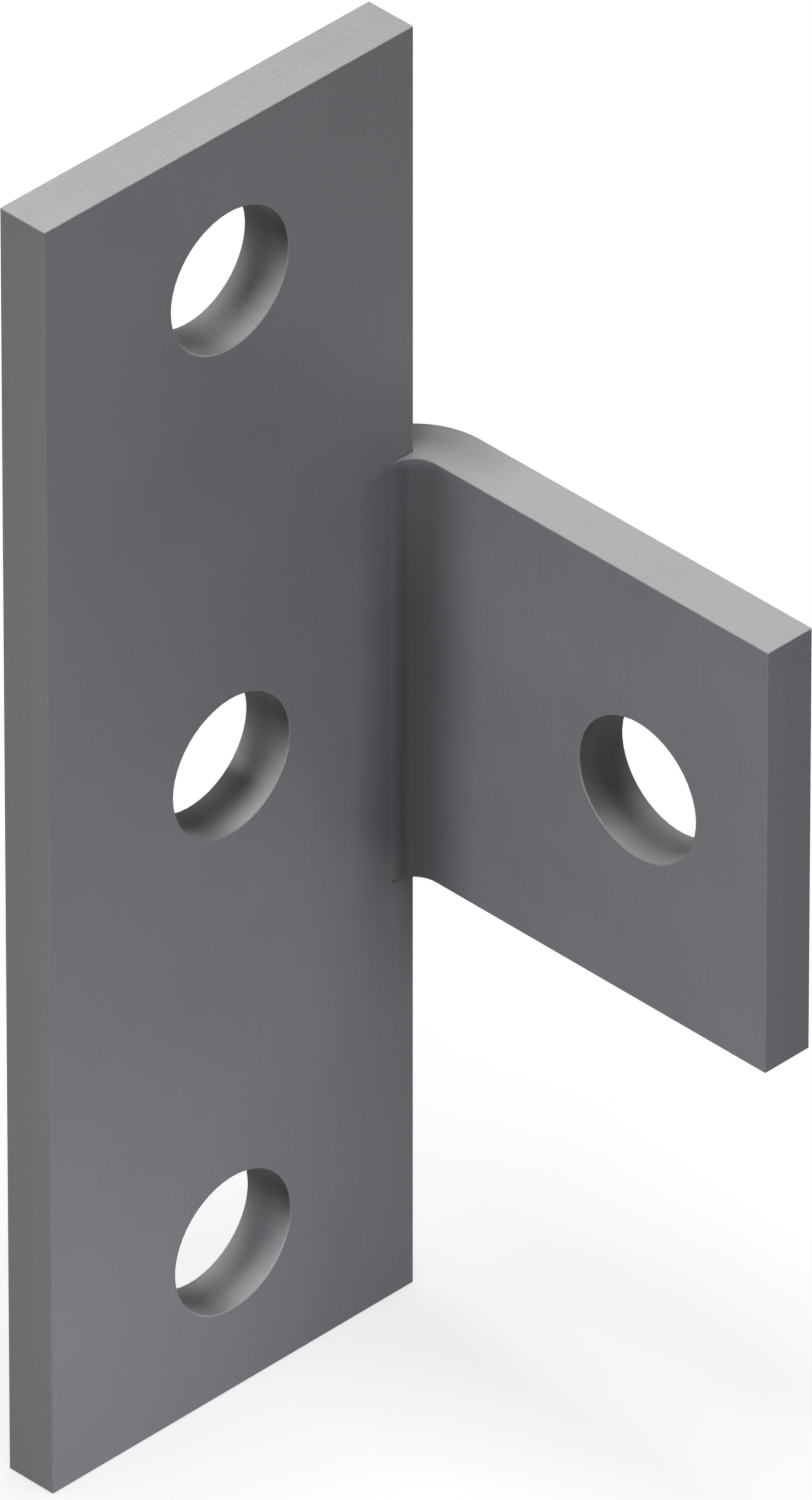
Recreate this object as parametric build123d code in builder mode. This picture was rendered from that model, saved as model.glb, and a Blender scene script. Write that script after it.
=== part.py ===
from build123d import *
import os

# A splice angle bracket, made from one piece of steel sheet. All sizes are in millimetres.
# The plate stands upright in the XZ plane, and its seating face on the back looks along +Y.
# The middle of its right edge runs out into a tab, folded a quarter turn towards -Y.
# The origin is on the axis of the plate's middle hole, at the seating face.

# The sheet, and the size that its sharp edges are broken by: rounded along the outline,
# and bevelled round the holes
sheet_thickness = 5.0
edge_break = 0.1

# The plate is as wide as the channel that it splices
plate_width = 41.0

# Round holes for M12 bolts, the same in the plate and in the tab
# The end distance runs from a hole's centre to the nearest end of the plate or tab
hole_diameter = 13.0
hole_pitch = 47.0
plate_hole_count = 3
end_distance = 14.5

# The tab, measured up the plate and out from the plate's front face
tab_width = 41.0
tab_reach = 39.7

# The inside of the fold, and the slit that is torn open beside it
bend_radius = 2.5
rip_width = 0.05

# Places that follow from the sizes above
plate_height = (plate_hole_count - 1) * hole_pitch + 2 * end_distance
front_face = -sheet_thickness
right_edge = plate_width / 2
bend_start = right_edge - bend_radius
tab_end = front_face - tab_reach
tab_hole = tab_end + end_distance
hole_radius = hole_diameter / 2


# The flat plate. Its right edge is notched as deep as the inside of the fold,
# and above and below the tab the notch leaves the torn slits.
with BuildPart() as plate:
    with BuildSketch(Plane.XZ):
        Rectangle(plate_width, plate_height)
    extrude(amount=sheet_thickness)
    fillet(plate.edges(), edge_break)
    with BuildSketch(Plane.XZ):
        with Locations((right_edge, 0)):
            Rectangle(2 * bend_radius, tab_width + 2 * rip_width)
    extrude(amount=sheet_thickness, mode=Mode.SUBTRACT)


# The fold and the tab, drawn as the inner side of the sheet and thickened outwards
with BuildPart() as tab:
    with BuildSketch(Plane.XY.offset(-tab_width / 2)):
        with BuildLine():
            inside_bend = JernArc((bend_start, front_face), (1, 0), bend_radius, -90)
            Line(inside_bend @ 1, (right_edge, tab_end))
            offset(amount=sheet_thickness, side=Side.LEFT)
        make_face()
    extrude(amount=tab_width)

    # The root, where the fold grows out of the plate, is not a cut edge
    root = tab.faces().sort_by(Axis.X)[0]
    tip = tab.faces().sort_by(Axis.Y)[0]
    side_edges = tab.faces().filter_by(Axis.Z).edges() - root.edges()
    corner_edges = tip.edges().filter_by(Axis.Z)
    fillet(side_edges + corner_edges, edge_break)


# The whole sheet, with its bolt holes made from the inner sides of the angle
with BuildPart() as splice_angle:
    add(plate.part)
    add(tab.part)
    with Locations(Plane.XZ.offset(sheet_thickness)):
        with GridLocations(0, hole_pitch, 1, plate_hole_count):
            Hole(hole_radius, depth=sheet_thickness)
    with Locations(Plane((right_edge, tab_hole, 0), z_dir=(-1, 0, 0))):
        Hole(hole_radius, depth=sheet_thickness)

    # The rims of the holes are the only edges that close on themselves
    rims = splice_angle.edges().filter_by(lambda edge: edge.is_closed)
    chamfer(rims, edge_break)

splice_angle.part.label = "splice_angle"
os.makedirs("parts", exist_ok=True)
export_step(splice_angle.part, "parts/splice_angle.step")
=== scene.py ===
from math import atan, cos, radians, sin, sqrt

import bpy
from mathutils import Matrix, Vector


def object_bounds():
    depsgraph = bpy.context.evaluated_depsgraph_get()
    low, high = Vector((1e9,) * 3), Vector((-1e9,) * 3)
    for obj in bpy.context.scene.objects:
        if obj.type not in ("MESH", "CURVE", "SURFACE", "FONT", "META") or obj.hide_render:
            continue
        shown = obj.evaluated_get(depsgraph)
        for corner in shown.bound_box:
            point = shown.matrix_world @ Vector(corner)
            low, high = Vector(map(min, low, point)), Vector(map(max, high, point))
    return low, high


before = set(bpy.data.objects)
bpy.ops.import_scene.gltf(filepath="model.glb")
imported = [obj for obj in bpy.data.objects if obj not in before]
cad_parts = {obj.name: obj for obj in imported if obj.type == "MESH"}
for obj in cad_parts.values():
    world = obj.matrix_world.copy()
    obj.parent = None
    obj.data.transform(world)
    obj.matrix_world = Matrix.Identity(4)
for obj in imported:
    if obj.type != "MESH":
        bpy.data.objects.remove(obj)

cad_low, cad_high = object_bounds()


# The bracket: one piece of 5 mm steel sheet, cut to shape, punched, and folded a quarter turn.
# It is zinc plated all over, so the rolled faces are an even satin grey with a faint grain, and
# the cut edges and the walls of the holes show the tool's fine marks through the thickness.
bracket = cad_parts["splice_angle"]

# Where things are on the bracket, in millimetres: the plate's front face looks along -Y, and
# the tab runs out along -Y from the plate's right edge
sheet_thickness = 5.0
plate_half_width = 20.5
tab_half_width = 20.5
tab_inner_face = 20.5
tab_tip = -44.7
fold_start = 18.0
fold_end = -7.5
fold_inside_radius = 2.5
hole_radius = 6.5
hole_rim = 6.6
hole_pitch = 47.0
tab_hole = -30.2

# The zinc where it is pale and where it is dull, and its slightly warmer tint inside the holes
pale_zinc = (0.385, 0.385, 0.388, 1)
dull_zinc = (0.325, 0.326, 0.332, 1)
warm_wall = (0.985, 0.99, 0.95, 1)

# How much painted light makes the zinc paler towards the plate's left edge and along the tab's
# two long edges, as a share of the way from dull to pale
left_painted_light_share = 0.45
tab_edge_painted_light_share = 0.6

# How much painted light brightens the zinc in the holes beside the faces, and how much painted
# shade darkens it round the fold, on the plate below the fold, and on one side of the holes
plate_hole_painted_light = 1.4
tab_hole_painted_light = 1.0
fold_painted_shade_share = 0.75
below_fold_painted_shade_share = 0.2
hole_side_painted_shade_share = 0.54

zinc = bpy.data.materials.new("zinc_plated_sheet")
zinc.use_nodes = True
nodes = zinc.node_tree.nodes
link = zinc.node_tree.links.new
surface = nodes["Principled BSDF"]


def fill(socket, value):
    """Sets a socket to a number, or links an output to it."""
    if isinstance(value, (int, float)):
        socket.default_value = value
    else:
        link(value, socket)


def reckon(operation, *values):
    """The result of a Math node."""
    node = nodes.new("ShaderNodeMath")
    node.operation = operation
    for socket, value in zip(node.inputs, values):
        fill(socket, value)
    return node.outputs[0]


def scaled(value, *sizes):
    """A value times one size or several."""
    for size in sizes:
        value = reckon("MULTIPLY", value, size)
    return value


def greatest(value, *others):
    """The greatest of several values."""
    for other in others:
        value = reckon("MAXIMUM", value, other)
    return value


def added(start, parts):
    """A start value plus a share of each of several values."""
    for value, share in parts:
        start = reckon("MULTIPLY_ADD", value, share, start)
    return start


def darkened(light, shades):
    """A lightness that loses a share of itself to each of several shades."""
    for shade, share in shades:
        light = scaled(light, reckon("MULTIPLY_ADD", shade, -share, 1.0))
    return light


def span(across, up):
    """The length of a line that runs so far across and so far up."""
    return reckon("SQRT", reckon("MULTIPLY_ADD", up, up, scaled(across, across)))


def fade(value, low, high, at_low=0.0, at_high=1.0):
    """A soft change between two values of a length."""
    node = nodes.new("ShaderNodeMapRange")
    node.interpolation_type = "SMOOTHSTEP"
    fill(node.inputs["Value"], value)
    node.inputs["From Min"].default_value = low
    node.inputs["From Max"].default_value = high
    node.inputs["To Min"].default_value = at_low
    node.inputs["To Max"].default_value = at_high
    return node.outputs["Result"]


def follow(value, points):
    """A value that follows a line through points, each a length and the value there."""
    shortest, longest = points[0][0], points[-1][0]
    place = nodes.new("ShaderNodeMapRange")
    fill(place.inputs["Value"], value)
    place.inputs["From Min"].default_value = shortest
    place.inputs["From Max"].default_value = longest
    line = nodes.new("ShaderNodeValToRGB")
    link(place.outputs["Result"], line.inputs["Fac"])
    stops = line.color_ramp.elements
    for number, (length, share) in enumerate(points):
        at = (length - shortest) / (longest - shortest)
        stop = stops[number] if number < 2 else stops.new(at)
        stop.position = at
        stop.color = (share, share, share, 1)
    return line.outputs["Color"]


def either(share, first, second):
    """The first value where the share is 0, and the second where it is 1."""
    node = nodes.new("ShaderNodeMix")
    fill(node.inputs["Factor"], share)
    fill(node.inputs["A"], first)
    fill(node.inputs["B"], second)
    return node.outputs["Result"]


def marks(along, through, up, detail):
    """Uneven marks from -1 to 1, one or so to each unit of the three lengths."""
    place = nodes.new("ShaderNodeCombineXYZ")
    for socket, value in zip(place.inputs, (along, through, up)):
        fill(socket, value)
    noise = nodes.new("ShaderNodeTexNoise")
    link(place.outputs[0], noise.inputs["Vector"])
    noise.inputs["Scale"].default_value = 1.0
    noise.inputs["Detail"].default_value = detail
    spread = nodes.new("ShaderNodeMapRange")
    link(noise.outputs["Fac"], spread.inputs["Value"])
    spread.inputs["From Min"].default_value = 0.25
    spread.inputs["From Max"].default_value = 0.75
    spread.inputs["To Min"].default_value = -1.0
    return spread.outputs["Result"]


spot = nodes.new("ShaderNodeTexCoord")
in_millimetres = nodes.new("ShaderNodeVectorMath")
in_millimetres.operation = "SCALE"
link(spot.outputs["Object"], in_millimetres.inputs[0])
in_millimetres.inputs["Scale"].default_value = 1000.0
lengths = nodes.new("ShaderNodeSeparateXYZ")
link(in_millimetres.outputs[0], lengths.inputs[0])
x, y, z = lengths.outputs
facing = nodes.new("ShaderNodeSeparateXYZ")
link(spot.outputs["Normal"], facing.inputs[0])
facing_x, facing_y, facing_z = facing.outputs
faces_sideways, faces_front_or_back, level_edge = (
    fade(reckon("ABSOLUTE", part), 0.6, 0.8) for part in facing.outputs
)

# The length along the sheet from the plate round the fold into the tab, and the depth below the
# sheet's front face, as they were before the sheet was folded
on_tab_level = fade(reckon("ABSOLUTE", z), tab_half_width, tab_half_width + 0.5, 1.0, 0.0)
past_start = scaled(greatest(reckon("SUBTRACT", x, fold_start), 0.0), on_tab_level)
before_end = greatest(reckon("SUBTRACT", y, fold_end), 0.0)
past_end = greatest(reckon("SUBTRACT", fold_end, y), 0.0)
round_fold = scaled(reckon("ARCTAN2", past_start, before_end), sheet_thickness)
along = reckon("ADD", reckon("ADD", reckon("SUBTRACT", x, past_start), round_fold), past_end)
depth = reckon("SUBTRACT", span(past_start, before_end), fold_inside_radius)

# The hole that a point is nearest to: the distance from its axis, and the way round it
on_tab = fade(x, tab_inner_face - 0.5, tab_inner_face - 0.1)
nearest_level = reckon("WRAP", z, hole_pitch / 2, -hole_pitch / 2)
across_hole = either(on_tab, x, reckon("SUBTRACT", y, tab_hole))
up_hole = either(on_tab, nearest_level, z)
from_axis = span(across_hole, up_hole)
hole_wall = fade(from_axis, hole_radius + 0.02, hole_radius + 0.06, 1.0, 0.0)
rim = reckon("SUBTRACT", fade(from_axis, hole_rim, hole_rim + 0.08, 1.0, 0.0), hole_wall)

# The cut edges: those that face up or down, the plate's two upright edges, and the tip of the tab
plate_edge = scaled(
    faces_sideways,
    fade(y, -sheet_thickness - 0.3, -sheet_thickness - 0.05),
    fade(x, plate_half_width + 0.1, plate_half_width + 0.3, 1.0, 0.0),
)
tip_edge = scaled(faces_front_or_back, fade(y, tab_tip + 0.1, tab_tip + 0.2, 1.0, 0.0))
cut = greatest(level_edge, plate_edge, tip_edge, hole_wall)
rolled = reckon("SUBTRACT", 1.0, cut)

# Tool marks run through the thickness. The blade and the punch leave a smooth band at the front
# of each cut and a rougher torn band behind it.
marks_per_millimetre = 3.5
marks_round_hole = 16.0
smooth_band_end = 1.7
torn_band_start = 2.2
edge_marks = marks(
    scaled(either(level_edge, z, along), marks_per_millimetre),
    scaled(depth, 0.25),
    0.0,
    detail=2.0,
)
way_round = marks(
    scaled(reckon("DIVIDE", across_hole, from_axis), marks_round_hole),
    scaled(depth, 0.3),
    scaled(reckon("DIVIDE", up_hole, from_axis), marks_round_hole),
    detail=2.0,
)
tool_marks = scaled(either(hole_wall, edge_marks, way_round), cut)
torn_line = added(depth, [(edge_marks, 0.3)])
torn = scaled(fade(torn_line, smooth_band_end, torn_band_start), cut)

# The zinc's unevenness: wide faint clouds that are partly painted light, fine speckle, and the
# grain of the rolled sheet
clouds_per_millimetre = 0.07
# The first cloud is placed so that pale clouds lie on the middle and left of the plate's front
# and dull ones near its top and right, which is painted light
first_cloud = (-36.1, 38.9, 2.7)
speckles_per_millimetre = 2.4
grain_per_millimetre = 3.2
grain_up_the_sheet = 0.16
clouds = marks(
    *(added(start, [(way, clouds_per_millimetre)]) for way, start in zip((x, y, z), first_cloud)),
    detail=3.0,
)
speckle = marks(*(scaled(way, speckles_per_millimetre) for way in (x, y, z)), detail=1.0)
grain = marks(
    scaled(along, grain_per_millimetre),
    scaled(depth, 0.5),
    scaled(z, grain_up_the_sheet),
    detail=2.0,
)
grain = scaled(grain, rolled)

# Painted shade under the top of each hole, strongest towards the front, which reaches further
# down the sides of the plate's holes than of the tab's
hole_roof_painted_shade = fade(reckon("SUBTRACT", facing_z, either(on_tab, 0.45, 0.0)), -0.75, 0.0, 1.0, 0.0)
hole_roof_painted_shade = scaled(hole_roof_painted_shade, fade(torn_line, 0.5, 4.0, 0.84, 0.64))

# Painted shade on one side of every hole: where the walls of the plate's holes face right, and
# where the tab's hole faces forward
hole_side_painted_shade = either(on_tab, fade(facing_x, -0.35, 0.35), fade(facing_y, -0.9, -0.3, 1.0, 0.0))

# Painted light: the zinc is paler towards the plate's left edge and along the tab's two long
# edges
left_painted_light = fade(along, -19.0, 12.0, 1.0, 0.0)
tab_edge = scaled(level_edge, on_tab_level)

# Painted shade round the fold, least on its outside, and a little painted shade on the plate
# beside the fold, most of it below the tab.
fold_painted_shade = scaled(
    added(fade(along, 13.0, 18.0, 0.0, 0.45), [(fade(along, 17.8, 20.5), 0.55)]),
    fade(along, 21.5, 31.5, 1.0, 0.0),
    follow(z, [(-34, 0), (-22.3, 0.64), (-20, 1), (6, 1), (19.6, 0.78), (20.7, 0.2), (31, 0)]),
    fade(depth, 0.5, sheet_thickness, 1.0, 0.2),
)
# Painted shade on the plate beside the fold, most of it below the tab
below_fold_painted_shade = scaled(
    follow(z, [(-44, 0), (-30, 0.4), (-22, 0.8), (-15, 1), (0, 0.2), (18, 0)]),
    fade(along, 6.0, 17.0),
    fade(along, 20.0, 21.5, 1.0, 0.0),
    fade(depth, 0.0, 0.3, 1.0, 0.0),
)

# Painted shade on the tab's torn edge behind the plate's corner, less further along
corner_painted_shade = scaled(
    follow(along, [(20, 0.7), (22.1, 0.66), (23.2, 0.47), (25.9, 0.23), (32, 0)]),
    tab_edge,
    fade(depth, 0.0, 3.5),
)

# How pale each of these makes the zinc, from 0 where it is dull to 1 where it is pale
tone = added(
    0.5,
    [
        (clouds, 0.3),
        (speckle, 0.14),
        (grain, 0.18),
        (tool_marks, 0.3),
        (torn, -0.12),
        (rim, 1.0),
        # Painted light towards the plate's left edge and along the tab's long edges
        (left_painted_light, left_painted_light_share),
        (tab_edge, tab_edge_painted_light_share),
    ],
)
palest = 1.6
plating = nodes.new("ShaderNodeMixRGB")
plating.use_clamp = False
link(reckon("MINIMUM", greatest(tone, 0.0), palest), plating.inputs["Fac"])
plating.inputs["Color1"].default_value = dull_zinc
plating.inputs["Color2"].default_value = pale_zinc
tinted = nodes.new("ShaderNodeMixRGB")
tinted.blend_type = "MULTIPLY"
tinted.inputs["Color2"].default_value = warm_wall
link(hole_wall, tinted.inputs["Fac"])
link(plating.outputs["Color"], tinted.inputs["Color1"])

# Painted shade on the faces and edges, and painted light and shade in the holes, where the
# smooth band is also a little paler than the torn band
painted_shade_on_faces = darkened(
    # Painted shade round the fold, beside it and behind the plate's corner
    1.0, [(fold_painted_shade, fold_painted_shade_share), (corner_painted_shade, 1.0), (below_fold_painted_shade, below_fold_painted_shade_share)]
)
holes_painted_light_and_shade = scaled(
    either(on_tab, plate_hole_painted_light, tab_hole_painted_light), fade(torn_line, 1.0, 4.0, 1.05, 0.95)
)
holes_painted_light_and_shade = darkened(holes_painted_light_and_shade, [(hole_roof_painted_shade, 1.0), (hole_side_painted_shade, hole_side_painted_shade_share)])
shaded = nodes.new("ShaderNodeVectorMath")
shaded.operation = "SCALE"
link(tinted.outputs["Color"], shaded.inputs[0])
link(scaled(painted_shade_on_faces, either(hole_wall, 1.0, holes_painted_light_and_shade)), shaded.inputs["Scale"])
link(shaded.outputs[0], surface.inputs["Base Color"])

# Satin plating: a little rougher where it is torn and in the holes, smoother on the rims
satin = 0.46
roughness = added(
    satin, [(clouds, 0.04), (grain, 0.05), (torn, 0.08), (hole_wall, 0.1), (rim, -0.08)]
)
link(roughness, surface.inputs["Roughness"])
surface.inputs["Metallic"].default_value = 0.05
surface.inputs["Specular IOR Level"].default_value = 0.18

# How far the marks stand out of the surface, in millimetres
relief = added(
    0.0,
    [(grain, 0.0025), (speckle, 0.0012), (tool_marks, 0.005), (scaled(speckle, torn), 0.004)],
)
bump = nodes.new("ShaderNodeBump")
bump.inputs["Distance"].default_value = 0.001
link(relief, bump.inputs["Height"])
link(bump.outputs["Normal"], surface.inputs["Normal"])

for finish in bracket.material_slots:
    finish.material = zinc


# The floor is a plain pale sheet that the plate's foot stands on. It is matt, and pale enough
# to run into the white background, apart from the bracket's soft shadow.

# A hair lies between the foot and the floor, so that the two faces don't flicker
hair_below_foot = 0.00005
half_floor = 3.0
bounce_grey = (0.05, 0.05, 0.05, 1)
shadow_grey = (0.32, 0.32, 0.32, 1)
glow_under_lamps = 0.65

floor_level = cad_low.z - hair_below_foot
floor_mesh = bpy.data.meshes.new("floor")
floor_mesh.from_pydata(
    [
        (-half_floor, -half_floor, floor_level),
        (half_floor, -half_floor, floor_level),
        (half_floor, half_floor, floor_level),
        (-half_floor, half_floor, floor_level),
    ],
    [],
    [(0, 1, 2, 3)],
)
floor = bpy.data.objects.new("floor", floor_mesh)
bpy.context.scene.collection.objects.link(floor)

# 1 for what the camera sees, by itself or in a reflection or through something clear, and 0 for
# the light that the floor and the room shed
seen_directly = bpy.data.node_groups.new("seen_directly", "ShaderNodeTree")
seen_directly.interface.new_socket("Seen", in_out="OUTPUT", socket_type="NodeSocketFloat")
nodes = seen_directly.nodes
link = seen_directly.links.new
rays = nodes.new("ShaderNodeLightPath").outputs
seen = greatest(rays["Is Camera Ray"], rays["Is Glossy Ray"], rays["Is Transmission Ray"])
link(seen, nodes.new("NodeGroupOutput").inputs["Seen"])

pale = bpy.data.materials.new("pale_floor")
pale.use_nodes = True
nodes = pale.node_tree.nodes
link = pale.node_tree.links.new
nodes.clear()
bounce = nodes.new("ShaderNodeBsdfDiffuse")
bounce.inputs["Color"].default_value = bounce_grey
shadowed = nodes.new("ShaderNodeBsdfDiffuse")
shadowed.inputs["Color"].default_value = shadow_grey
where = nodes.new("ShaderNodeTexCoord")
way_out = nodes.new("ShaderNodeVectorMath")
way_out.operation = "LENGTH"
link(where.outputs["Object"], way_out.inputs[0])
glow = nodes.new("ShaderNodeEmission")
beyond_lamps = fade(way_out.outputs["Value"], -0.1, 1.4, glow_under_lamps, 1.0)
link(beyond_lamps, glow.inputs["Strength"])
seen_floor = nodes.new("ShaderNodeAddShader")
link(shadowed.outputs[0], seen_floor.inputs[0])
link(glow.outputs[0], seen_floor.inputs[1])
looked_at = nodes.new("ShaderNodeGroup")
looked_at.node_tree = seen_directly
by_ray = nodes.new("ShaderNodeMixShader")
link(looked_at.outputs["Seen"], by_ray.inputs["Fac"])
link(bounce.outputs[0], by_ray.inputs[1])
link(seen_floor.outputs[0], by_ray.inputs[2])
out = nodes.new("ShaderNodeOutputMaterial")
link(by_ray.outputs[0], out.inputs["Surface"])
floor_mesh.materials.append(pale)


# The room is white wherever the camera or a reflection sees it. It sheds no light of its own on
# the bracket, which is left to the lamps.
world = bpy.data.worlds.new("studio")
bpy.context.scene.world = world
world.use_nodes = True
nodes = world.node_tree.nodes
link = world.node_tree.links.new
background = nodes["Background"]
background.inputs["Color"].default_value = (1, 1, 1, 1)
looked_at = nodes.new("ShaderNodeGroup")
looked_at.node_tree = seen_directly
link(looked_at.outputs["Seen"], background.inputs["Strength"])


# The lamps are wide soft boxes about a metre away on every side, the one overhead the strongest,
# and two small cool lamps low in front, which lift the plate's front and its foot.
heart = (0, -0.02, 0)
cool = (0.84, 0.84, 1.0)


def soft_box(name, place, aim, side, power, colour=(1, 1, 1)):
    """A square soft box at a place, facing a point of the bracket."""
    lamp = bpy.data.lights.new(name, "AREA")
    lamp.size = side
    lamp.energy = power
    lamp.color = colour
    box = bpy.data.objects.new(name, lamp)
    box.location = place
    box.rotation_mode = "QUATERNION"
    box.rotation_quaternion = (Vector(aim) - Vector(place)).to_track_quat("-Z", "Y")
    box.visible_camera = False
    bpy.context.scene.collection.objects.link(box)


soft_box("overhead_box", (0, -0.02, 1.0), heart, 0.5, 10.1)
soft_box("left_box", (-0.985, -0.02, 0.174), heart, 0.4, 1.49)
soft_box("front_box", (-0.015, -0.44, 0.906), heart, 0.45, 0.7, cool)
soft_box("rear_box", (0, 0.98, 0.14), heart, 0.35, 2.6)
soft_box("right_box", (0.98, -0.02, 0.14), heart, 0.35, 2.6)
soft_box("low_box", (-0.10, -0.14, -0.02), (-0.02, -0.005, -0.02), 0.06, 0.0605, cool)
soft_box("foot_lamp", (-0.015, -0.045, -0.052), (-0.02, -0.005, -0.06), 0.015, 0.0031, cool)


# The camera looks along the diagonal of a cube, as the photograph does. The lens is long, so
# that lines which run the same way stay nearly parallel.
camera_data = bpy.data.cameras.new("camera")
camera_data.lens = 900
camera_data.sensor_width = 36
camera_data.clip_start = 0.1
camera_data.clip_end = 20
camera = bpy.data.objects.new("camera", camera_data)
bpy.context.scene.collection.objects.link(camera)
bpy.context.scene.camera = camera
turn = radians(-45)
rise = atan(1 / sqrt(2))
towards_camera = Vector((sin(turn) * cos(rise), -cos(turn) * cos(rise), sin(rise)))
picture_centre = Vector((0.01958, -0.00508, -0.0082))
camera_distance = 3.008
camera.location = picture_centre + towards_camera * camera_distance
camera.rotation_mode = "QUATERNION"
camera.rotation_quaternion = (-towards_camera).to_track_quat("-Z", "Y")

bpy.context.scene.view_settings.view_transform = "Standard"
